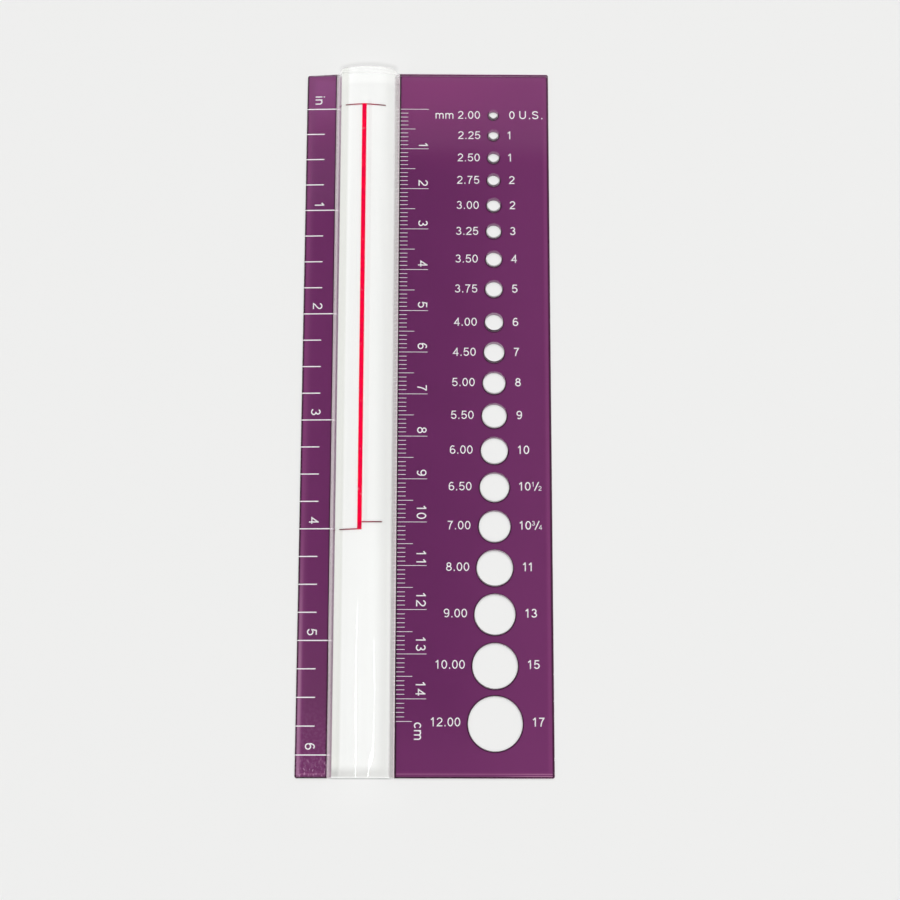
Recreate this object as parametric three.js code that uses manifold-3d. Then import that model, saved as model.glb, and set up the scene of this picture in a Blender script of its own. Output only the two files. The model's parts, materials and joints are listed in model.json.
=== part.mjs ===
// Knitting needle gauge with a magnifier bar, in millimetres, +Z up.
//
// Three clear acrylic strips are bonded edge to edge and lie flat: a bevelled inch rule on
// the left, a plano-convex magnifier bar in the middle and a gauge plate with a row of
// needle holes on the right. The rule and the plate carry a coloured print on their backs,
// and the bar carries a red line in a shallow groove in its flat base, seen magnified
// through the dome. The origin is the middle of the underside, +Y is the end with the
// smallest hole and the zero marks, and +X is the side of the needle holes.

import * as THREE from 'three';
import { mergeVertices } from 'three/addons/utils/BufferGeometryUtils.js';
import Module from 'manifold-3d';

// Overall sizes
const gaugeLength = 166;
const ruleWidth = 7.25;
const barWidth = 14.85;
const plateWidth = 35.5;

// Heights above the table
const printThickness = 0.1;
const plateTop = 2.0;
const ruleInnerTop = 1.55;
const ruleOuterTop = 0.55;

// Magnifier bar section: flanks that lean in, and a dome over them
const flankRun = 1.2;
const shoulderHeight = 5.0;
const domeRise = 1.9;
const shoulderRound = 0.25;
const domeSteps = 32;

// Edges and corners
const plateEdgeRound = 0.3;
const ruleEdgeRound = 0.15;
const cornerRound = 0.5;
const plateEndBreak = 0.2;
const ruleEndBreak = 0.1;
const barEndBreak = 0.4;
const roundSteps = 4;

// Needle holes: nominal needle sizes from the zero end, and what each hole adds to pass them
const needleSizes = [
  2, 2.25, 2.5, 2.75, 3, 3.25, 3.5, 3.75, 4, 4.5, 5, 5.5, 6, 6.5, 7, 8, 9, 10, 12,
];
const needleAllowance = 0.15;
const holeLineInset = 13.1;
const firstHoleInset = 10.0;
const lastHoleInset = 12.0;
const holeFacet = 0.5;
const holeFacetsMin = 24;
const holeFacetsMax = 72;

// Land between each hole and the next, as parts of the room that the holes leave: the
// small holes stand a row of figures apart, and past 4 mm the land closes up
const landParts = [
  2.85, 3.1, 2.85, 3.25, 3.15, 3.3, 3.55, 4.05, 2.85, 2.35, 2.4, 2.3, 2.15, 2.15, 1.9, 1.9,
  1.9, 1.65,
];

// Red line in the base of the bar, which counts stitches over 4 inches or 10 centimetres.
// Its cross marks stand a little outside that measure.
const zeroMarkInset = 8.5;
const inch = 25.4;
const inchSpan = 4 * inch;
const metricSpan = 100;
const lineWidth = 0.78;
const lineOffset = -0.75;
const markWidth = 0.2;
const zeroMarkLift = 0.4;
const endMarkDrop = 0.15;
const zeroMarkLeftReach = 3.6;
const zeroMarkRightReach = 4.0;
const inchMarkReach = 3.7;
const metricMarkReach = 4.15;

// Sizes and places that follow
const overallWidth = ruleWidth + barWidth + plateWidth;
const overallHeight = shoulderHeight + domeRise;
const ruleLeft = -overallWidth / 2;
const barLeft = ruleLeft + ruleWidth;
const plateLeft = barLeft + barWidth;
const plateRight = plateLeft + plateWidth;
const zeroEnd = gaugeLength / 2;
const zeroMark = zeroEnd - zeroMarkInset;

// Corners of one mesh closer than this are one corner
const sameCorner = 1e-5;

const manifold = await Module();
manifold.setup();

// A closed three.js geometry as a solid that can be joined and cut
function solidFrom(geometry) {
  geometry.deleteAttribute('normal');
  geometry.deleteAttribute('uv');
  const merged = mergeVertices(geometry, sameCorner);
  const mesh = new manifold.Mesh({
    numProp: 3,
    vertProperties: new Float32Array(merged.attributes.position.array),
    triVerts: new Uint32Array(merged.index.array),
  });
  return new manifold.Manifold(mesh);
}

function geometryFrom(solid) {
  const { vertProperties, triVerts } = solid.getMesh();
  const geometry = new THREE.BufferGeometry();
  geometry.setAttribute('position', new THREE.BufferAttribute(vertProperties, 3));
  geometry.setIndex(new THREE.BufferAttribute(triVerts, 1));
  geometry.computeVertexNormals();
  return geometry;
}

// A section drawn in X and Z, run the whole length along Y, its ends eased all round
function runAlongLength(section, ease, steps) {
  const geometry = new THREE.ExtrudeGeometry(section, {
    depth: gaugeLength - 2 * ease,
    bevelEnabled: true,
    bevelThickness: ease,
    bevelSize: ease,
    bevelOffset: -ease,
    bevelSegments: steps,
    curveSegments: roundSteps,
  });
  geometry.rotateX(Math.PI / 2);
  geometry.translate(0, gaugeLength / 2 - ease, 0);
  return solidFrom(geometry);
}

// An outline drawn in X and Y, raised from one height to another
function raise(outline, bottom, top) {
  const geometry = new THREE.ExtrudeGeometry(outline, {
    depth: top - bottom,
    bevelEnabled: false,
    curveSegments: roundSteps,
  });
  geometry.translate(0, 0, bottom);
  return solidFrom(geometry);
}

// The plan of one strip, with two rounded corners on its free side
function stripOutline(left, right, freeSide) {
  const outline = new THREE.Shape();
  const end = gaugeLength / 2;
  const r = cornerRound;
  if (freeSide === 'right') {
    outline.moveTo(left, -end);
    outline.lineTo(right - r, -end);
    outline.absarc(right - r, -end + r, r, -Math.PI / 2, 0, false);
    outline.absarc(right - r, end - r, r, 0, Math.PI / 2, false);
    outline.lineTo(left, end);
  } else {
    outline.moveTo(right, -end);
    outline.lineTo(right, end);
    outline.lineTo(left + r, end);
    outline.absarc(left + r, end - r, r, Math.PI / 2, Math.PI, false);
    outline.absarc(left + r, -end + r, r, Math.PI, 1.5 * Math.PI, false);
  }
  return outline;
}

// Diameter and centre of every needle hole, from the zero end down
function needleHoles() {
  const bores = needleSizes.map((size) => size + needleAllowance);
  const first = zeroEnd - firstHoleInset;
  const last = -zeroEnd + lastHoleInset;
  const boreRoom = bores.reduce((sum, bore) => sum + bore, 0) - (bores[0] + bores.at(-1)) / 2;
  const landRoom = first - last - boreRoom;
  const partSum = landParts.reduce((sum, part) => sum + part, 0);
  const holes = [];
  let y = first;
  bores.forEach((bore, i) => {
    if (i > 0) {
      y -= (bores[i - 1] + bore) / 2 + (landRoom * landParts[i - 1]) / partSum;
    }
    holes.push({ bore, x: plateRight - holeLineInset, y });
  });
  return holes;
}

// One cutter for all the needle holes, long enough to pass through plate and print
function needleHoleCutter() {
  const height = 2 * overallHeight;
  const cutters = needleHoles().map(({ bore, x, y }) => {
    const wanted = Math.round((Math.PI * bore) / holeFacet);
    const facets = Math.min(holeFacetsMax, Math.max(holeFacetsMin, wanted));
    const geometry = new THREE.CylinderGeometry(bore / 2, bore / 2, height, facets);
    geometry.rotateX(Math.PI / 2);
    geometry.translate(x, y, 0);
    return solidFrom(geometry);
  });
  return cutters.reduce((all, cutter) => all.add(cutter));
}

// Gauge plate: flat, its free top edge rounded, drilled for the needles
function gaugePlate(holes) {
  const section = new THREE.Shape();
  section.moveTo(plateLeft, printThickness);
  section.lineTo(plateRight, printThickness);
  const roundX = plateRight - plateEdgeRound;
  const roundZ = plateTop - plateEdgeRound;
  section.absarc(roundX, roundZ, plateEdgeRound, 0, Math.PI / 2, false);
  section.lineTo(plateLeft, plateTop);
  const outline = stripOutline(plateLeft, plateRight, 'right');
  return runAlongLength(section, plateEndBreak, 1)
    .intersect(raise(outline, 0, overallHeight))
    .subtract(holes);
}

// Inch rule: a wedge that thins towards its free edge, as a bevelled ruler does
function inchRule() {
  const slope = Math.atan2(ruleInnerTop - ruleOuterTop, ruleWidth);
  const section = new THREE.Shape();
  const round = ruleEdgeRound;
  const roundX = ruleLeft + round;
  const roundZ = ruleOuterTop + round * (Math.tan(slope) - 1 / Math.cos(slope));
  section.moveTo(ruleLeft, printThickness);
  section.lineTo(barLeft, printThickness);
  section.lineTo(barLeft, ruleInnerTop);
  section.absarc(roundX, roundZ, round, Math.PI / 2 + slope, Math.PI, false);
  const outline = stripOutline(ruleLeft, barLeft, 'left');
  return runAlongLength(section, ruleEndBreak, 1).intersect(raise(outline, 0, overallHeight));
}

// Magnifier bar: flat base, flanks that spring from the tops of its neighbours and lean
// in, and a shallow dome that magnifies across its width
function magnifierBar(groove) {
  const centre = barLeft + barWidth / 2;
  const halfChord = barWidth / 2 - flankRun;
  const domeRadius = (halfChord ** 2 + domeRise ** 2) / (2 * domeRise);
  const domeCentre = shoulderHeight + domeRise - domeRadius;
  const domeAngle = Math.asin(halfChord / domeRadius);
  const roundAngle = shoulderRound / domeRadius;
  const startAngle = domeAngle - roundAngle;
  const domePoint = (angle) =>
    new THREE.Vector2(centre + domeRadius * Math.sin(angle), domeCentre + domeRadius * Math.cos(angle));

  const flankPoint = (side, foot) => {
    const top = new THREE.Vector2(centre + side * halfChord, shoulderHeight);
    const bottom = new THREE.Vector2(centre + side * (barWidth / 2), foot);
    return top.lerp(bottom, shoulderRound / top.distanceTo(bottom));
  };

  const section = new THREE.Shape();
  section.moveTo(barLeft, 0);
  section.lineTo(plateLeft, 0);
  section.lineTo(plateLeft, plateTop);
  const rightFlank = flankPoint(1, plateTop);
  const domeRight = domePoint(startAngle);
  section.lineTo(rightFlank.x, rightFlank.y);
  section.quadraticCurveTo(centre + halfChord, shoulderHeight, domeRight.x, domeRight.y);
  for (let i = 1; i <= domeSteps; i += 1) {
    const point = domePoint(startAngle * (1 - (2 * i) / domeSteps));
    section.lineTo(point.x, point.y);
  }
  const leftFlank = flankPoint(-1, ruleInnerTop);
  section.quadraticCurveTo(centre - halfChord, shoulderHeight, leftFlank.x, leftFlank.y);
  section.lineTo(barLeft, ruleInnerTop);
  return runAlongLength(section, barEndBreak, 2).subtract(groove);
}

// Red line with a cross mark at zero, a left mark at 4 inches and a right one at 100 mm
function stitchLineOutline() {
  const centre = barLeft + barWidth / 2 + lineOffset;
  const left = centre - lineWidth / 2;
  const right = centre + lineWidth / 2;
  const zeroLow = zeroMark + zeroMarkLift;
  const zeroHigh = zeroLow + markWidth;
  const zeroLeft = centre - zeroMarkLeftReach;
  const zeroRight = centre + zeroMarkRightReach;
  const inchHigh = zeroMark - inchSpan - endMarkDrop;
  const inchLow = inchHigh - markWidth;
  const inchLeft = centre - inchMarkReach;
  const metricHigh = zeroMark - metricSpan - endMarkDrop;
  const metricLow = metricHigh - markWidth;
  const metricRight = centre + metricMarkReach;
  const points = [
    [zeroLeft, zeroHigh], [zeroLeft, zeroLow], [left, zeroLow],
    [left, inchHigh], [inchLeft, inchHigh], [inchLeft, inchLow],
    [right, inchLow], [right, metricLow], [metricRight, metricLow],
    [metricRight, metricHigh], [right, metricHigh],
    [right, zeroLow], [zeroRight, zeroLow], [zeroRight, zeroHigh],
  ];
  return new THREE.Shape(points.map(([x, y]) => new THREE.Vector2(x, y)));
}

const clearAcrylic = { color: 0xe9edf2, roughness: 0.06, metalness: 0, transparent: true, opacity: 0.4 };
const purpleInk = { color: 0x703264, roughness: 0.35, metalness: 0 };
const redInk = { color: 0xf00838, roughness: 0.4, metalness: 0 };

function piece(name, solid, look) {
  const mesh = new THREE.Mesh(geometryFrom(solid), new THREE.MeshStandardMaterial(look));
  mesh.name = name;
  return mesh;
}

const holes = needleHoleCutter();
const stitchLine = raise(stitchLineOutline(), 0, printThickness);
const platePrint = raise(stripOutline(plateLeft, plateRight, 'right'), 0, printThickness).subtract(holes);
const rulePrint = raise(stripOutline(ruleLeft, barLeft, 'left'), 0, printThickness);

const gauge = new THREE.Group();
gauge.add(
  piece('gauge_plate', gaugePlate(holes), clearAcrylic),
  piece('gauge_plate_back_print', platePrint, purpleInk),
  piece('inch_rule', inchRule(), clearAcrylic),
  piece('inch_rule_back_print', rulePrint, purpleInk),
  piece('magnifier_bar', magnifierBar(stitchLine), clearAcrylic),
  piece('stitch_line_print', stitchLine, redInk),
);

export default gauge;
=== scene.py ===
"""Looks of a knitting needle gauge: three clear acrylic strips over a purple print, white
scales and figures, and a magnifier bar with a red line in its base. Metres, +Z up, +Y towards
the zero marks, +X towards the needle holes."""

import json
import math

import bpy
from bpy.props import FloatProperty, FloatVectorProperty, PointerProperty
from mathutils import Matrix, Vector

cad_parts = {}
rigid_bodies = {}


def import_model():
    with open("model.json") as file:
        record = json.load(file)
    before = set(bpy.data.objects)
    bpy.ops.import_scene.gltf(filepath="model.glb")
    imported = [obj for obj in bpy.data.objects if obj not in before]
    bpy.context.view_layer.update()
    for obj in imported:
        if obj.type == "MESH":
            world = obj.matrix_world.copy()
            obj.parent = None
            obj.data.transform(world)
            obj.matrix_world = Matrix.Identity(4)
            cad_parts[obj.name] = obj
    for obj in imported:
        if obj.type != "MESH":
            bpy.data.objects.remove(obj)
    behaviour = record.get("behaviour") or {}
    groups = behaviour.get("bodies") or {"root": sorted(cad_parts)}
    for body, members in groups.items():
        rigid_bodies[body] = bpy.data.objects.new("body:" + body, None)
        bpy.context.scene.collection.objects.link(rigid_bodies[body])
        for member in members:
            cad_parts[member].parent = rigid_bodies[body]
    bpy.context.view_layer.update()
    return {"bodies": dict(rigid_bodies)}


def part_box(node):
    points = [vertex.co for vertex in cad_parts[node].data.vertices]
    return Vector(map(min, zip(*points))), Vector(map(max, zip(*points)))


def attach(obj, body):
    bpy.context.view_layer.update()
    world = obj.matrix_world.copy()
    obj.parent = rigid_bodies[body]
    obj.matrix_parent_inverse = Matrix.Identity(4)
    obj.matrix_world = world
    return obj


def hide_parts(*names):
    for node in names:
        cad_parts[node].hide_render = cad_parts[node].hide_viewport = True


bl_info = {
    "name": "Knitting needle gauge",
    "version": (1, 0, 0),
    "blender": (4, 5, 0),
    "location": "View3D > Sidebar > Needle Gauge",
    "description": "Models and finishes a knitting needle gauge with a magnifier bar",
    "category": "Object",
}

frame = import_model()

MM = 0.001
BODY = next(iter(frame["bodies"]))

# Boxes of the clear strips, from the frame
PLATE_LOW, PLATE_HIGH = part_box("gauge_plate")
RULE_LOW, RULE_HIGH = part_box("inch_rule")
BAR_LOW, BAR_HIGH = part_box("magnifier_bar")
BAR_CENTRE = (BAR_LOW.x + BAR_HIGH.x) / 2
HALF_BAR = (BAR_HIGH.x - BAR_LOW.x) / 2

# Zero of both scales
ZERO_Y = 0.0745

# The red line: how far it lies from the bar's middle and its marks past the measure
LINE_OFFSET = -0.00075
ZERO_LIFT = 0.0005
END_DROP = 0.00015
LINE_WIDTH = 0.78 * MM
MARK_WIDTH = 0.23 * MM

# Needle sizes in millimetres with their US sizes, and how far each hole lies below zero
NEEDLES = (
    ("2.00", "0", 1.5), ("2.25", "1", 6.634), ("2.50", "1", 12.269), ("2.75", "2", 17.903),
    ("3.00", "2", 24.188), ("3.25", "3", 30.623), ("3.50", "4", 37.458), ("3.75", "5", 44.794),
    ("4.00", "6", 52.882), ("4.50", "7", 60.141), ("5.00", "8", 67.399), ("5.50", "9", 75.206),
    ("6.00", "10", 83.413), ("6.50", "10½", 91.97), ("7.00", "10¾", 101.027),
    ("8.00", "11", 110.583), ("9.00", "13", 121.139), ("10.00", "15", 132.695),
    ("12.00", "17", 145.5),
)
HOLE_X = PLATE_HIGH.x - 13.1 * MM
NEEDLE_ALLOWANCE = 0.15 * MM

# Scales: marks after zero, their width, and how far they reach from the rule's left edge
INCH = 25.4 * MM
INCH_MARKS = 24
INCH_TICK = 0.24 * MM
QUARTER_REACH = 4.35 * MM
CM_MARKS = 145
CM_TICK = 0.11 * MM
CM_REACH = 7.0 * MM
HALF_CM_REACH = 3.85 * MM
MM_REACH = 2.1 * MM

# Places of the scale figures: from the rule's left edge, and above their mark or above zero
INCH_FIGURE = (2.24 * MM, 1.15 * MM)
CM_FIGURE = (4.62 * MM, 0.7 * MM)
INCH_SIGN = (1.98 * MM, 1.2 * MM)
CM_SIGN = (4.3 * MM, -149.05 * MM)

# Bent tubes under the ceiling, which draw the bright lines along the bar: X, Y and width at
# each bend, and the area that the watts in the stage settings are for
LEFT_TUBE = (
    (-0.208, -0.088, 0.02), (-0.222, -0.03, 0.02), (-0.27, 0.018, 0.02), (-0.225, 0.075, 0.006))
RIGHT_TUBE = (
    (0.265, -0.064, 0.004), (0.36, -0.0465, 0.008), (0.525, -0.0355, 0.012),
    (0.565, 0.012, 0.02), (0.49, 0.055, 0.006))
TUBE_AREA = 0.003

CAMERA_PLACE = (0.002068, -0.092112, 0.40076)
CAMERA_TURN = (0.20548, -0.00901, 0.00194)
CAMERA_LENS = 71.14


def length(name, description, millimetres):
    """A length that a user may change."""
    return FloatProperty(
        name=name, description=description, default=millimetres * MM, min=0.0,
        unit="LENGTH", precision=6)


def amount(name, description, default):
    """A plain number from 0 up that a user may change."""
    return FloatProperty(name=name, description=description, default=default, min=0.0)


def tone(name, description, default):
    """A linear colour that a user may change."""
    return FloatVectorProperty(
        name=name, description=description, default=default, min=0.0, max=1.0,
        subtype="COLOR", size=3)


class GaugeSizes(bpy.types.PropertyGroup):
    """Sizes that the finish of the gauge depends on"""

    ink: length("Ink thickness", "Thickness of the printed layer", 0.1)
    bite: length("Ink bite", "How far the ink reaches into the clear plastic over it", 0.01)
    seam: length("Seam", "Width of the seam between two bonded strips", 0.02)
    plate_edge: length("Plate edge round", "Round along the free edges of the plate", 0.15)
    rule_edge: length("Rule edge round", "Round along the thin edge of the inch rule", 0.2)
    rule_outer_top: length("Rule edge height", "Height of the inch rule at its thin edge", 0.55)
    corner: length("Corner round", "Round of the four outer corners", 0.5)
    hole_rim: length("Hole rim break", "Break around the top of each needle hole", 0.04)
    flank_run: length("Flank run", "How far each flank of the bar leans in", 1.2)
    dome_rise: length("Dome rise", "Rise of the dome over its shoulders", 1.9)
    shoulder_round: length("Shoulder round", "Round where the dome meets its flanks", 0.25)
    bar_end: length("Bar end break", "Break around both ends of the bar", 0.2)
    hole_ring: length("Hole ring", "Width of the dark ring in the print around each hole", 0.3)
    stroke: amount("Figure stroke", "Stroke of the figures as a share of their height", 0.124)
    scale_figure: length("Scale figure height", "Height of the figures along both rules", 2.25)
    size_figure: length("Size figure height", "Height of the needle sizes", 1.97)


class GaugeColours(bpy.types.PropertyGroup):
    """Colours of the gauge"""

    acrylic: tone("Acrylic", "Tint of the clear acrylic", (0.965, 0.972, 0.965))
    purple: tone("Purple", "The printed backs", (0.137, 0.0188, 0.110))
    white: tone("White", "Figures and scales", (1.0, 0.975, 1.0))
    red: tone("Red", "The stitch line", (1.0, 0.002, 0.045))
    marks: tone("Marks", "The thin cross marks of the stitch line", (0.42, 0.010, 0.06))
    floor: tone("Floor", "The pale table", (0.89, 0.89, 0.882))


class StageSettings(bpy.types.PropertyGroup):
    """Light of the stage"""

    sky: amount("Room light", "Strength of the light from all round", 1.91)
    horizon: amount("Horizon", "Share of the room light that comes from low down", 0.3)
    shade: amount("Overhead shade", "Strength of the darker room straight above", 0.3)
    bar_glow: amount("Bar glow", "How much light each face of the bar gathers onto its base", 1.113)
    left_tube: amount("Left tube", "Watts of the tube that draws the left line on the bar", 0.2)
    right_tube: amount("Right tube", "Watts of the tube that draws the right line on the bar", 0.2)


# Small helpers for modelling by operators


def sizes():
    return bpy.context.scene.gauge_sizes


def colours():
    return bpy.context.scene.gauge_colours


def stage():
    return bpy.context.scene.gauge_stage


def deselect_all():
    bpy.ops.object.select_all(action="DESELECT")


def pick(obj):
    """Makes obj the only selected and active object."""
    deselect_all()
    obj.select_set(True)
    bpy.context.view_layer.objects.active = obj


def add_block(name, low, high):
    """A cube added between two corners, as a start."""
    low, high = Vector(low), Vector(high)
    deselect_all()
    bpy.ops.mesh.primitive_cube_add(size=1, location=(low + high) / 2)
    block = bpy.context.object
    block.name = name
    block.scale = high - low
    bpy.ops.object.transform_apply(location=True, rotation=True, scale=True)
    return block


def add_rod(name, radius, low, high, axis, sides):
    """A cylinder from one point to another along an axis, as a start or a cutter."""
    low, high = Vector(low), Vector(high)
    turn = {"Y": (math.pi / 2, 0, 0), "Z": (0, 0, 0)}[axis]
    deselect_all()
    bpy.ops.mesh.primitive_cylinder_add(
        vertices=sides, radius=radius, depth=(high - low).length,
        location=(low + high) / 2, rotation=turn)
    rod = bpy.context.object
    rod.name = name
    bpy.ops.object.transform_apply(location=True, rotation=True, scale=True)
    return rod


def clear_selection(obj, kind):
    """Makes obj active, with none of its edges or faces selected."""
    pick(obj)
    bpy.ops.object.mode_set(mode="EDIT")
    bpy.ops.mesh.select_mode(type=kind)
    bpy.ops.mesh.select_all(action="DESELECT")
    bpy.ops.object.mode_set(mode="OBJECT")


def bevel_edges(obj, test, width, segments):
    """Bevels the edges whose two end points pass the test."""
    clear_selection(obj, "EDGE")
    points = obj.data.vertices
    found = 0
    for edge in obj.data.edges:
        a, b = (points[i].co for i in edge.vertices)
        edge.select = test(a, b)
        found += edge.select
    if not found:
        raise RuntimeError(f"no edge of {obj.name} lies where it is looked for")
    bpy.ops.object.mode_set(mode="EDIT")
    bpy.ops.mesh.bevel(offset=width, segments=segments, affect="EDGES", profile=0.5)
    bpy.ops.object.mode_set(mode="OBJECT")


def near(a, b, slack=1e-6):
    return abs(a - b) < slack


def upright(a, b):
    """True for an edge that stands straight up."""
    return near(a.x, b.x) and near(a.y, b.y)


def both(a, b, axis, place, slack=1e-6):
    """True for an edge with both its ends at a place along an axis."""
    return near(getattr(a, axis), place, slack) and near(getattr(b, axis), place, slack)


def apply_boolean(obj, cutter, operation):
    """Joins or cuts obj with another closed mesh, which is then deleted."""
    pick(obj)
    modifier = obj.modifiers.new(operation.title(), "BOOLEAN")
    modifier.operation = operation
    modifier.solver = "EXACT"
    modifier.object = cutter
    bpy.ops.object.modifier_apply(modifier=modifier.name)
    bpy.data.objects.remove(cutter, do_unlink=True)


def smooth(obj, degrees=30):
    """Smooth shading that leaves the broad flat faces flat."""
    pick(obj)
    bpy.ops.object.shade_smooth_by_angle(angle=math.radians(degrees))
    modifier = obj.modifiers.new("Flat faces", "WEIGHTED_NORMAL")
    modifier.keep_sharp = True
    modifier.weight = 100
    bpy.ops.object.modifier_apply(modifier=modifier.name)


def copy_of(obj, place):
    """A copy with its own mesh, its place in its mesh."""
    twin = obj.copy()
    twin.data = obj.data.copy()
    twin.data.transform(place)
    bpy.context.scene.collection.objects.link(twin)
    return twin


def join_all(name, objects):
    """Joins objects into one under a name."""
    deselect_all()
    for obj in objects:
        obj.select_set(True)
    bpy.context.view_layer.objects.active = objects[0]
    bpy.ops.object.join()
    joined = bpy.context.object
    joined.name = name
    joined.data.name = name
    return joined


def finish_piece(obj, material, slot, *nodes):
    """Gives a piece its material and body, and hides the CAD nodes it stands for. The slot is not
    used.
    """
    obj.data.materials.clear()
    obj.data.materials.append(material)
    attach(obj, BODY)
    if nodes:
        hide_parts(*nodes)
    return obj


# Materials

# Tones laid over the full purple of the print. The lighter, far, rule, band and pink line
# tones and the sheen along the rule's edge are painted light and painted highlights; the
# outline and seam tones are painted shade. Bare plastic, mottle, scuff and speck are the
# print's own marks.
LIGHTER = (0.19, 0.034, 0.145)
FAR_TONE = (0.235, 0.036, 0.165)
RULE_NEAR_TONE = (0.152, 0.037, 0.116)
RULE_FAR_TONE = (0.29, 0.085, 0.25)
RULE_EDGE_TONE = (0.185, 0.044, 0.148)
BAND = (0.225, 0.044, 0.165)
# Painted highlight along the rounded outer edge of the inch rule
RULE_EDGE_SHEEN = (0.37, 0.165, 0.30)
PINK_LINE = (0.40, 0.16, 0.30)
OUTLINE = (0.05, 0.012, 0.036)
NEAR_OUTLINE = (0.014, 0.004, 0.010)
SEAM_LINE = (0.034, 0.010, 0.025)
BARE_PLASTIC = (0.62, 0.5, 0.56)
MOTTLE = (0.30, 0.11, 0.25)
SCUFF = (0.50, 0.25, 0.43)
SPECK = (0.5, 0.4, 0.5)

# What lies left of this is the inch rule
RULE_SIDE = -20 * MM

ACRYLIC_IOR = 1.49

MADE = {}


class Nodes:
    """Adds, sets and links the nodes of one material or world"""

    def __init__(self, tree):
        self.tree = tree
        tree.nodes.clear()

    def add(self, kind, **values):
        """A node with some of its sockets or settings filled in. A value may be a socket."""
        node = self.tree.nodes.new("ShaderNode" + kind)
        for key, value in values.items():
            if hasattr(node, key):
                setattr(node, key, value)
            else:
                self.fill(node.inputs[key.replace("_", " ")], value)
        return node

    def fill(self, socket, value):
        if isinstance(value, bpy.types.NodeSocket):
            self.tree.links.new(value, socket)
        elif socket.type == "RGBA":
            socket.default_value = (*value, 1)
        else:
            socket.default_value = value

    def fill_all(self, node, *values):
        """Fills the first sockets of a node in order."""
        for socket, value in zip(node.inputs, values):
            self.fill(socket, value)
        return node

    def math(self, operation, *values):
        return self.fill_all(self.add("Math", operation=operation), *values).outputs["Value"]

    def times(self, first, *others):
        """The product of some values."""
        for other in others:
            first = self.math("MULTIPLY", first, other)
        return first

    def away(self, value, place):
        """How far a value lies from a place, on either side."""
        return self.math("ABSOLUTE", self.math("SUBTRACT", value, place))

    def fade(self, value, start, end, low=0.0, high=1.0):
        """Goes softly from low at start to high at end."""
        flip = start > end
        if flip:
            start, end, low, high = end, start, high, low
        node = self.add("MapRange", interpolation_type="SMOOTHSTEP", Value=value)
        limits = {"From Min": start, "From Max": end, "To Min": low, "To Max": high}
        for name, limit in limits.items():
            node.inputs[name].default_value = limit
        return node.outputs["Result"]

    def ramp(self, value, start, end, low=0.0, high=1.0):
        """A fade whose start and end are in millimetres."""
        return self.fade(value, start * MM, end * MM, low, high)

    def blend(self, factor, colour, other):
        """One colour over another by a factor."""
        node = self.add("MixRGB", Fac=factor, Color1=colour, Color2=other)
        return node.outputs["Color"]

    def lay(self, colour, *layers):
        """Lays tones over a colour. Each layer is a factor and a tone."""
        for factor, tone in layers:
            colour = self.blend(factor, colour, tone)
        return colour

    def mix_shaders(self, factor, *shaders):
        node = self.add("MixShader", Fac=factor)
        for socket, shader in zip(node.inputs[1:], shaders):
            self.fill(socket, shader)
        return node.outputs["Shader"]

    def noise(self, place, scale, detail=4.0, stretch=(1, 1, 1), turn=0.0):
        """Fractal noise at so many waves a metre, stretched and turned about Z."""
        mapping = self.add("Mapping", Vector=place, Scale=stretch, Rotation=(0, 0, turn))
        node = self.add("TexNoise", Vector=mapping.outputs["Vector"], Scale=scale, Detail=detail)
        return node.outputs["Fac"]

    def coordinates(self):
        """Object coordinates, and their X, Y and Z."""
        place = self.add("TexCoord").outputs["Object"]
        split = self.add("SeparateXYZ", Vector=place).outputs
        return place, split["X"], split["Y"], split["Z"]


def made_once(name):
    """Lets a function lay the nodes of a material by this name the first time it is asked
    for, and hands out the same material after that."""
    def wrap(lay_nodes):
        def get():
            if name not in MADE:
                material = bpy.data.materials.get(name) or bpy.data.materials.new(name)
                material.use_nodes = True
                MADE[name] = material
                lay_nodes(Nodes(material.node_tree))
            return MADE[name]
        return get
    return wrap


def clear_shader(n, tint, roughness, gain, gloss=(1, 1, 1)):
    """Clear acrylic to the eye, which lets lamps and room light pass straight through times
    a gain, so that the print and the table under it stay lit."""
    body = n.add(
        "BsdfPrincipled", Base_Color=tint, IOR=ACRYLIC_IOR, Roughness=roughness,
        Transmission_Weight=1.0, Specular_Tint=gloss).outputs["BSDF"]
    path = n.add("LightPath").outputs
    open_way = n.add("BsdfTransparent", Color=gain).outputs["BSDF"]
    for_room = n.mix_shaders(path["Is Diffuse Ray"], body, open_way)
    n.add("OutputMaterial", Surface=n.mix_shaders(path["Is Shadow Ray"], for_room, open_way))


def matt_shader(n, colour, roughness=0.4):
    """Ink or paint without gloss."""
    body = n.add("BsdfPrincipled", Base_Color=colour, Roughness=roughness, Specular_IOR_Level=0.0)
    n.add("OutputMaterial", Surface=body.outputs["BSDF"])


def grey(value):
    return (value, value, value)


def scaled(colour, share):
    return tuple(c * share for c in colour)


def scratches(n, place, least, most):
    """Roughness with fine handling scratches in three directions."""
    worst = 0.0
    for turn, waves in ((0.3, 70), (-0.7, 90), (1.3, 60)):
        line = n.noise(place, 1.0, 2.0, (5000, waves, 300), turn)
        worst = n.math("MAXIMUM", worst, n.fade(line, 0.68, 0.76))
    return n.fade(worst, 0, 1, least, most)


@made_once("clear_acrylic")
def strip_acrylic(n):
    """Clear cast acrylic of the two flat strips, with fine handling scratches. The near
    edge of the inch rule has a painted dark line: painted shade of that edge."""
    place, x, y, _ = n.coordinates()
    from_near = n.math("SUBTRACT", y, PLATE_LOW.y)
    # Painted shade: a dark line along the near edge of the inch rule
    near_edge = n.times(n.ramp(from_near, 0.16, 0.08), n.math("LESS_THAN", x, RULE_SIDE))
    tint = n.blend(near_edge, tuple(colours().acrylic), (0.36, 0.22, 0.32))
    clear_shader(n, tint, scratches(n, place, 0.015, 0.1), grey(1.0))


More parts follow.
